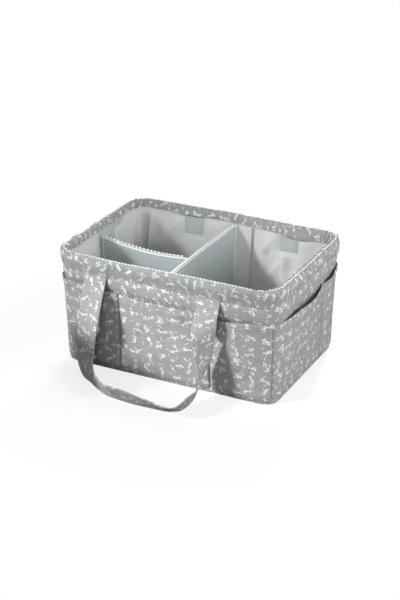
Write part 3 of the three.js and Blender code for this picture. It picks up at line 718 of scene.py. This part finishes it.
# %% Lining
PATCHES = dict.fromkeys(("front", "back"), (-76 * MM, 12 * MM, 100 * MM))
PATCH_TOP, PATCH, PILE = 182.7 * MM, 33 * MM, 1.2 * MM
FOLDS = {
    "back": (((-104, 180), (-142, 122), 10, 4.5), ((-184, 170), (-181, 100), 6, 3),
             ((-163, 172), (-158, 90), 8, 4), ((82, 182), (58, 148), 6, 3.5), ((93, 148), (96, 80), 8, 4),
             ((84, 124), (60, 92), 5, 2.5), ((59, 184), (48, 100), 8, 2.5),
             ((140, 170), (112, 110), 12, 3)),
    "left": (((112, 176), (84, 120), 11, 5), ((88, 110), (60, 60), 12, 3), ((-60, 170), (-80, 90), 12, 3)),
}
for side in SIDES:
    place, z = lattice(panel_places(side), np.linspace(5 * MM, CLOTH_TOP, 80))
    s, a = girth(side, place), along_wall(side, place)
    free = ease(5 * MM, 20 * MM, z) * ease(-183 * MM, -164 * MM, -z)
    puff = (1 + swells(s, z, 70 * MM, 60 * MM, 51)) * 1.5 * MM
    puff += (1 + swells(s + 0.8 * z, z, 20 * MM, 80 * MM, 53)) * 0.9 * MM
    puff += (1 + swells(s - 0.5 * z, z, 28 * MM, 60 * MM, 55)) * 0.8 * MM
    for start, end, width, height in FOLDS.get(side, ()):
        puff += 0.9 * height * MM * fold(a, z, start, end, width)
    puff *= free
    for spot in PATCHES.get(side, ()):
        near = np.maximum(np.abs(a - spot) - PATCH / 2, 0)
        below = np.maximum(PATCH_TOP - PATCH - z, 0)
        puff *= ease(1 * MM, 9 * MM, np.hypot(near, below))
    if side in ("front", "back"):
        puff *= ease(17 * MM, 42 * MM, np.abs(a - 17 * MM))
    if side == "left":
        puff *= ease(18 * MM, 42 * MM, np.abs(a - 6 * MM))
    puff *= ease(0, 0.3, 1.5 - np.abs(place))
    middle = wall_point(side, place, z, 7.1 * MM)
    middle -= normals(middle) * puff[..., None]
    piece = skin(f"lining_cloth_{side}", *layers(middle, 0.8 * MM), np.stack((s, z), -1), lining_cloth,
                 "lining_cloth")
    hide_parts(f"lining_{side}")
floor_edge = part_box("lining_base")[1]
piece, flat = plate("lining_cloth_floor", floor_edge.x, floor_edge.y, BASE_CORNER - LINING_FACE, 5.1 * MM,
                    0.8 * MM, 0.15 * MM, lining_cloth, "lining_cloth")
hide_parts("lining_base")
print("lining: 4 walls and a floor")

# %% [markdown]
# ## Loop patches
#
# Squares of loop pile are sewn to the lining in a row under the rim, so the cross divider can be moved.
# Each has rounded corners, a sewn border that sinks into the pile and a fuzzy crown.

# %% Loop patches
def pile_patch(place_points, across, up, crown):
    """A piece of pile with rounded corners: place_points gives points for distances across, up and out."""
    a, b = lattice(np.linspace(-1, 1, 26), np.linspace(-1, 1, 26))
    corner = 0.16
    past_a, past_b = np.maximum(np.abs(a) - 1 + corner, 0), np.maximum(np.abs(b) - 1 + corner, 0)
    pull = np.where((past_a > 0) & (past_b > 0),
                    np.maximum(past_a, past_b) / np.maximum(np.hypot(past_a, past_b), 1e-9), 1)
    a = np.sign(a) * (np.abs(a) - past_a * (1 - pull))
    b = np.sign(b) * (np.abs(b) - past_b * (1 - pull))
    edge = np.maximum(np.abs(a), np.abs(b))
    rise = crown * (1 - 0.75 * bump(0.86, 0.05, edge)) * (1 - 0.8 * ease(0.93, 1.0, edge))
    outer = place_points(a * across / 2, b * up / 2, rise)
    inner = place_points(a * across / 2, b * up / 2, 0 * rise)
    return outer, inner, np.stack((a * across / 2, b * up / 2), -1)


def on_wall(side, along, z, depth):
    """Points at distances along a wall, towards +X or +Y, and at a depth in from its outside."""
    sign = 1 if side in ("front", "right") else -1
    return wall_point(side, sign * along / half_run(side, z), z, depth)


patch_runs = []
patches = [(f"loop_patch_{side}_{name}", side, spot, PATCH_TOP - PATCH / 2, PATCH, PATCH)
           for side, spots in PATCHES.items() for name, spot in zip(("left", "middle", "right"), spots)]
low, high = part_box("loop_patch_left_wall")
patches.append(("loop_patch_left_wall", "left", (low.y + high.y) / 2, (low.z + high.z) / 2, high.y - low.y,
                high.z - low.z))
for name, side, spot, level, wide, tall in patches:
    lie = lambda across, up, out: on_wall(side, spot + across, level + up, LINING_FACE + out)
    outer, inner, uv = pile_patch(lie, wide, tall, PILE)
    if side in ("front", "right"):
        outer, inner = inner, outer
    piece = skin(name + "_pile", outer, inner, uv, loop_pile, "loop_pile")
    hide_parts(name)
    border = outer if side in ("back", "left") else inner
    patch_runs += [border[3:-3, 2], border[-3, 3:-3], border[-4:2:-1, -3], border[2, -4:2:-1]]
stitches("patch_stitching", patch_runs, pale_thread, pitch=2.6 * MM, length=1.9 * MM,
         radius=0.3 * MM)

# %% [markdown]
# ## The dividers
#
# Two panels of foam in a padded cover. The cross divider spans front to back with a bow to the left, and
# the long divider closes the gap to the left wall. Each cover swells a little over its foam: a cloth
# simulation blows it out from a thinner panel while its edges stay sewn. White stitching runs along it.

# %% Divider shapes
CROSS_PLACE, CROSS_BOW, CROSS_TOP, CROSS_SAG = 4 * MM, 17 * MM, 184 * MM, 14 * MM
LONG_PLACE, LONG_TOP, LONG_FALL, LONG_SAG = -7 * MM, 176 * MM, 9 * MM, 6 * MM
DIVIDER, DIVIDER_DEPTH, DIVIDER_FOOT = 6 * MM, 12 * MM, 5.9 * MM


def cross_end(z):
    return half_reach("front", z) - DIVIDER_DEPTH


def cross_middle(y, z):
    return CROSS_PLACE - CROSS_BOW * (1 - (y / cross_end(z)) ** 2)


def cross_panel(share, rise):
    z = DIVIDER_FOOT + (CROSS_TOP - CROSS_SAG * (1 - (2 * share - 1) ** 2) - DIVIDER_FOOT) * rise
    y = (2 * share - 1) * cross_end(z)
    return np.stack((cross_middle(y, z), y, z), -1)


def long_panel(share, rise):
    top = LONG_TOP - LONG_FALL * share - LONG_SAG * (1 - (2 * share - 1) ** 2)
    z = DIVIDER_FOOT + (top - DIVIDER_FOOT) * rise
    wall = -(half_reach("right", z) - DIVIDER_DEPTH)
    inner = cross_middle(LONG_PLACE - DIVIDER / 2, z) - 8.4 * MM
    return np.stack((wall + (inner - wall) * share, np.full_like(z, LONG_PLACE), z), -1)


def swell_cover(piece, rest, edge, most):
    """Blows a sewn cover out with a little pressure.

    Points near its edges stay, and none moves further than most.
    """
    group = piece.vertex_groups.new(name="sewn")
    for index in np.flatnonzero(edge > 0):
        group.add([int(index)], float(edge[index]), "REPLACE")
    cloth = piece.modifiers.new("swell", "CLOTH")
    cloth.settings.vertex_group_mass = "sewn"
    cloth.settings.use_pressure = True
    cloth.settings.uniform_pressure_force = 4
    cloth.settings.effector_weights.gravity = 0
    cloth.settings.tension_stiffness = 20
    scene = bpy.context.scene
    for step in range(1, 21):
        scene.frame_set(step)
    shaped = piece.evaluated_get(bpy.context.evaluated_depsgraph_get()).to_mesh()
    moved = np.array([v.co for v in shaped.vertices]) - rest
    far = np.linalg.norm(moved, axis=1, keepdims=True)
    moved *= np.minimum(1, most / np.maximum(far, 1e-9))
    piece.modifiers.remove(cloth)
    piece.data.vertices.foreach_set("co", (rest + moved).astype(np.float32).ravel())
    piece.data.update()
    scene.frame_set(1)
    print(piece.name, "swelled", round(float(far.max()) * 1000, 1), "mm, kept within", most * 1000)


def padded_panel(panel, columns, rows, body):
    share, rise = lattice(np.linspace(0, 1, columns), np.linspace(0, 1, rows))
    middle = panel(share, rise)
    near = np.minimum(np.minimum(share, 1 - share) * columns, np.minimum(1 - rise, 1) * rows)
    start = DIVIDER - 1.0 * MM
    thickness = start * (0.6 + 0.4 * ease(0, 1.2, near))
    outer, inner = layers(middle, thickness)
    uv = np.stack((share * 0.2, rise * 0.18), -1)
    piece = skin(f"{body}_pad", outer, inner, uv, divider_cloth, "divider_cloth", body)
    edge = np.concatenate((near, near[:, ::-1]), axis=1).ravel()
    foot = np.concatenate((rise, rise[:, ::-1]), axis=1).ravel() * rows
    hold = np.where((edge < 0.5) | (foot < 1.5), 1.0, 0.0)
    rest = np.concatenate((outer, inner[:, ::-1]), axis=1).reshape(-1, 3)
    swell_cover(piece, rest, hold, 0.9 * MM)
    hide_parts(f"{body}_cover")
    round_off = piece.modifiers.new("smooth", "SUBSURF")
    round_off.levels = round_off.render_levels = 1
    return middle


divider_grids = {"cross_divider": padded_panel(cross_panel, 58, 44, "cross_divider"),
                 "long_divider": padded_panel(long_panel, 46, 42, "long_divider")}
for body, grid in divider_grids.items():
    stitches(f"{body}_edge_stitching", [grid[1:-1, -1] + 0.8 * MM * UP], edge_thread_and_crest_highlight, body,
             pitch=7 * MM, length=5.2 * MM, radius=1.25 * MM)

# %% [markdown]
# ## Tabs on the dividers
#
# Flat flaps of cloth at the ends of the dividers lie along the walls and carry the hook tape behind them.
# They are sewn all round, and their free edge lifts a hair from the wall.

# %% Tabs
TAB_FOOT, TAB_DEPTH, SEWING_LIFT = 18 * MM, 11.2 * MM, 0.6 * MM
LONG_TAB = (-10 * MM, 22 * MM)
tab_runs = {"cross_divider": [], "long_divider": []}


def flap(divider, end, material, slot, span, top, lie, off):
    """A thin flap over a span and up to a top: lie gives points for distances along, up and off."""
    body, solid = f"{divider}_divider", f"{divider}_divider_tab_{end}"
    share, rise = lattice(np.linspace(0, 1, 24), np.linspace(0, 1, 64))
    wave = 0.35 * MM * (1 + swells(share, rise, 0.5, 0.09, 61)) * ease(0.3, 1, share)
    middle = lie(span[0] + (span[1] - span[0]) * share, TAB_FOOT + (top - TAB_FOOT) * rise, wave)
    hem = 1 + 0.5 * (ease(0.86, 0.9, share) + ease(0.96, 0.975, rise))
    uv = np.stack((share * 0.034, rise * 0.16), -1)
    piece = skin(f"{divider}_tab_cloth_{end}", *layers(middle, 0.7 * MM * hem), uv, material, slot, body)
    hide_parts(solid)
    tab_runs[body] += [middle[-4, 2:-3] + off, middle[2:-3, -4] + off]


def on_wall_lining(side, along, z, off):
    return on_wall(side, along, z, TAB_DEPTH + off)


def on_cross_divider(y, z, off):
    return np.stack((cross_middle(y, z) - 6.6 * MM - off, y, z), -1)


for side in ("front", "back"):
    flap("cross", side, lining_cloth, "lining_cloth", (1 * MM, 33 * MM), 181 * MM,
         partial(on_wall_lining, side), -SEWING_LIFT * SIDES[side][1])
flap("long", "wall", divider_cloth, "divider_cloth", LONG_TAB, 166 * MM, partial(on_wall_lining, "left"),
     (SEWING_LIFT, 0, 0))
flap("long", "inner", divider_cloth, "divider_cloth", LONG_TAB, 157 * MM, on_cross_divider,
     (-SEWING_LIFT, 0, 0))

low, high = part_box("cross_divider_loop_strip")


def strip_points(across, up, out):
    y, z = (low.y + high.y) / 2 + across, (low.z + high.z) / 2 + up
    return np.stack((cross_middle(y, z) - 3.3 * MM - out, y, z), -1)


outer, inner, uv = pile_patch(strip_points, PATCH, PATCH, PILE)
piece = skin("cross_divider_loop_pile", inner, outer, uv, loop_pile, "loop_pile", "cross_divider")
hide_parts("cross_divider_loop_strip")
for body, grid in divider_grids.items():
    for face in (-1, 1):
        offset = normals(grid)[1:-1, -3] * face * 3.1 * MM
        tab_runs[body].append(grid[1:-1, -3] + offset)
    stitches(f"{body}_stitching", tab_runs[body], pale_thread, body, radius=0.32 * MM)

# %% [markdown]
# ## The handles
#
# Each handle is one strip of the printed cotton, folded to a band 38 mm wide with a row of stitches along
# both edges. Its ends are sewn under the rim casing. The loop hangs down the wall, leans out, twists on to
# its edge and lies along the floor.

# %% Handles
HINGE_Y, HINGE_Z, STRAP_WIDTH, STRAP, REACH = -140.295 * MM, 165 * MM, 38 * MM, 2.2 * MM, 88 * MM
LOOP = [
    (0, 0.023, 0.93, (1, 0, 0)), (0, 0.17, 0.75, (0.95, 0, 0.25)), (-0.015, 0.25, 0.54, (0.95, -0.2, 0)),
    (-0.075, 0.12, 0.24, (0.88, -0.25, 0.38)), (-0.048, 0.19, None, (0.45, 0.25, 0.85)),
    (0.07, 0.485, None, (0.1, 0.1, 0.95)), (0.178, 0.745, None, (-0.12, -0.18, 0.97)),
    (0.311, 0.94, None, (-0.03, -0.52, 0.85)), (0.5, 1, None, (0, -0.54, 0.84)),
    (0.71, 1.025, None, (0, -0.66, 0.75)), (0.908, 0.965, None, (0.54, -0.61, 0.58)),
    (0.967, 0.765, None, (0.53, 0.25, 0.8)), (0.976, 0.415, None, (0.4, -0.32, 0.86)),
    (0.984, 0.227, 0.215, (0.32, -0.88, 0.3)), (1.015, 0.205, 0.38, (-0.07, -1, 0)),
    (1.02, 0.264, 0.676, (-0.64, -0.77, 0)), (1.005, 0.145, 0.835, (-1, -0.1, 0)),
    (1, 0.023, 0.93, (-1, 0, 0)),
]


def handle_rows():
    """Middle points and directions across the band, from the left seam round to the right one."""
    rows = []
    sewn = [(-half_reach("front", z) - out, z) for z, out in ((187 * MM, 0.9 * MM), (170 * MM, 1.1 * MM))]
    for y, z in sewn:
        rows.append((STRAP_PLACES[0], y, z, 1, 0, 0))
    for share, out, rise, across in LOOP:
        across = np.array(across) / np.linalg.norm(across)
        lying = 2.4 * MM + STRAP / 2 + abs(across[2]) * STRAP_WIDTH / 2
        x = STRAP_PLACES[0] + (STRAP_PLACES[1] - STRAP_PLACES[0]) * share
        rows.append((x, HINGE_Y - out * REACH, lying if rise is None else rise * HINGE_Z, *across))
    for y, z in reversed(sewn):
        rows.append((STRAP_PLACES[1], y, z, -1, 0, 0))
    return rows


rows = smooth(handle_rows(), 240)
line, across = rows[:, :3], rows[:, 3:]
tangent = np.gradient(line, axis=0)
tangent /= np.linalg.norm(tangent, axis=1, keepdims=True)
across = across - (across * tangent).sum(axis=1, keepdims=True) * tangent
across /= np.linalg.norm(across, axis=1, keepdims=True)
facing = np.cross(tangent, across)
length = far_along(line)
v = np.linspace(-0.5, 0.5, 17)
sewn_share = ease(0, 22 * MM, np.minimum(length, length[-1] - length))
cup = 0.5 * MM * (1 - (2 * v) ** 2) + 0.25 * MM * swells(length[:, None], v[None, :], 30 * MM, 0.5, 71)
middle = (line[:, None] + across[:, None] * (v * STRAP_WIDTH)[None, :, None]
          + facing[:, None] * (cup * sewn_share[:, None])[..., None])
ridge = 1 + 0.25 * bump(0.47, 0.03, np.abs(v))[None, :] - 0.25 * bump(0.41, 0.015, np.abs(v))[None, :]
thick = (1.4 * MM + (STRAP - 1.4 * MM) * sewn_share)[:, None] * ridge
thick = thick * (1 - 0.5 * ease(0.49, 0.5, np.abs(v)))
uv = np.stack(np.broadcast_arrays(length[:, None] + 0.9, (v * STRAP_WIDTH)[None, :] + 0.2), -1)
for name, sign in (("front_handle", 1), ("rear_handle", -1)):
    turn = np.array((sign, sign, 1))
    offset = facing[:, None] * thick[..., None] / 2
    outer, inner = (middle + offset) * turn, (middle - offset) * turn
    piece = skin(f"{name}_band", outer, inner, uv, printed_cotton, "printed_cotton", body=None)
    runs = [grid[4:-4, j] for grid in (outer, inner) for j in (2, -3)]
    sewing = stitches(f"{name}_stitching", runs, thread, body=None, radius=0.36 * MM)
    for part in (piece, sewing):
        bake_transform(part)
    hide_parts(f"{name}_strap", f"{name}_sewn_end_left", f"{name}_sewn_end_right")
print("handle bands", round(float(length[-1]) * 1000), "mm long")

# %% [markdown]
# ## Studio
#
# The photograph is a cut-out on white with a soft shadow, which a pale floor keeps. The key is a spot from
# the left and front on the front wall. A lamp from behind lights the back and the inside, a small one fills
# the right end from close by, and a weak one fills the front. The loop of the handle is dark where it turns
# to the floor on the left, so a small card, out of sight, keeps the key off it.

# %% Floor, lamps and world
KEY_PLACE, KEY_TARGET, KEY_SPREAD = (-1.35, -1.6, 1.2), (0.0, -0.14, 0.09), math.radians(13)
CARD_PLACE = (-0.25, -0.31, 0.135)


def rectangle(name, half_x, half_y, level=0.0):
    """A flat mesh about the origin."""
    mesh = bpy.data.meshes.new(name)
    corners = [(x * half_x, y * half_y, level) for x, y in ((-1, -1), (1, -1), (1, 1), (-1, 1))]
    mesh.from_pydata(corners, [], [(0, 1, 2, 3)])
    return mesh


mesh = rectangle("floor", 6, 6, -0.0003)
floor = put("floor", mesh)
white_floor, tree, node, shader = finish("White studio floor", 0.5)
seen = node("LightPath").outputs["Is Camera Ray"]
pale = node("Mix", seen, data_type="RGBA", inputs={6: linear("#6a6a6a"), 7: linear("#6e6e6e")})
tree.links.new(pale.outputs[2], shader.inputs["Base Color"])
glow = node("Emission", Color=linear("#ffffff"), Strength=node("Math.MULTIPLY", seen, 0.79))
white = node("Emission", Color=linear("#ffffff"), Strength=1.0)
far = node("VectorMath.LENGTH", node("TexCoord").outputs["Object"])
fade = node("Math.MULTIPLY", seen, node("MapRange", inputs={0: far.outputs["Value"], 1: 0.24, 2: 0.45}))
both = node("MixShader", fade, node("AddShader", shader, glow), white)
tree.links.new(both.outputs[0], tree.nodes["Material Output"].inputs["Surface"])
mesh.materials.append(white_floor)
floor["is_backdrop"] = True


def lamp(name, kind, place, target, power):
    light = bpy.data.lights.new(name, kind)
    light.energy = power
    made = put(name, light)
    made.location = place
    made.rotation_euler = (Vector(target) - Vector(place)).to_track_quat("-Z", "Y").to_euler()
    return light


key = lamp("key", "SPOT", KEY_PLACE, KEY_TARGET, 385)
key.shadow_soft_size = 0.22
key.spot_size = KEY_SPREAD
key.spot_blend = 0.6
for name, place, power, size in (
        ("back", (-0.4, 2.0, 0.9), 45, 0.8), ("right_fill", (1.1, -0.2, 0.5), 10.5, 0.6),
        ("front_fill", (0.4, -2.3, 1.2), 10, 1.0)):
    lamp(name, "AREA", place, (0, 0, 0.1), power).size = size
card = rectangle("shade_card", 0.06, 0.035)
card.materials.append(white_floor)
shade = put("shade_card", card)
shade.location = CARD_PLACE
shade.rotation_euler = (Vector(KEY_PLACE) - Vector(CARD_PLACE)).to_track_quat("Z", "Y").to_euler()
shade.visible_camera = shade.visible_diffuse = shade.visible_glossy = False
shade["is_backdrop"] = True

world = bpy.data.worlds.new("white")
world.use_nodes = True
bpy.context.scene.world = world
tree = world.node_tree
sky = tree.nodes["Background"]
seen = add(tree, "LightPath")
strength = add(tree, "MapRange", inputs={0: seen.outputs["Is Camera Ray"], 3: 0.28, 4: 1.0})
tree.links.new(strength.outputs[0], sky.inputs["Strength"])
sky.inputs["Color"].default_value = linear("#ffffff")
bpy.context.scene.view_settings.view_transform = "Standard"
print("studio set")

# %% [markdown]
# ## The size of the dressed caddy
#
# The box round the dressed caddy is printed. The dressed caddy has to stay within a hair of the
# solids' box.

# %% Sizes
low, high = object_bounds()
print("visual box", [round(x, 4) for x in (*low, *high)])
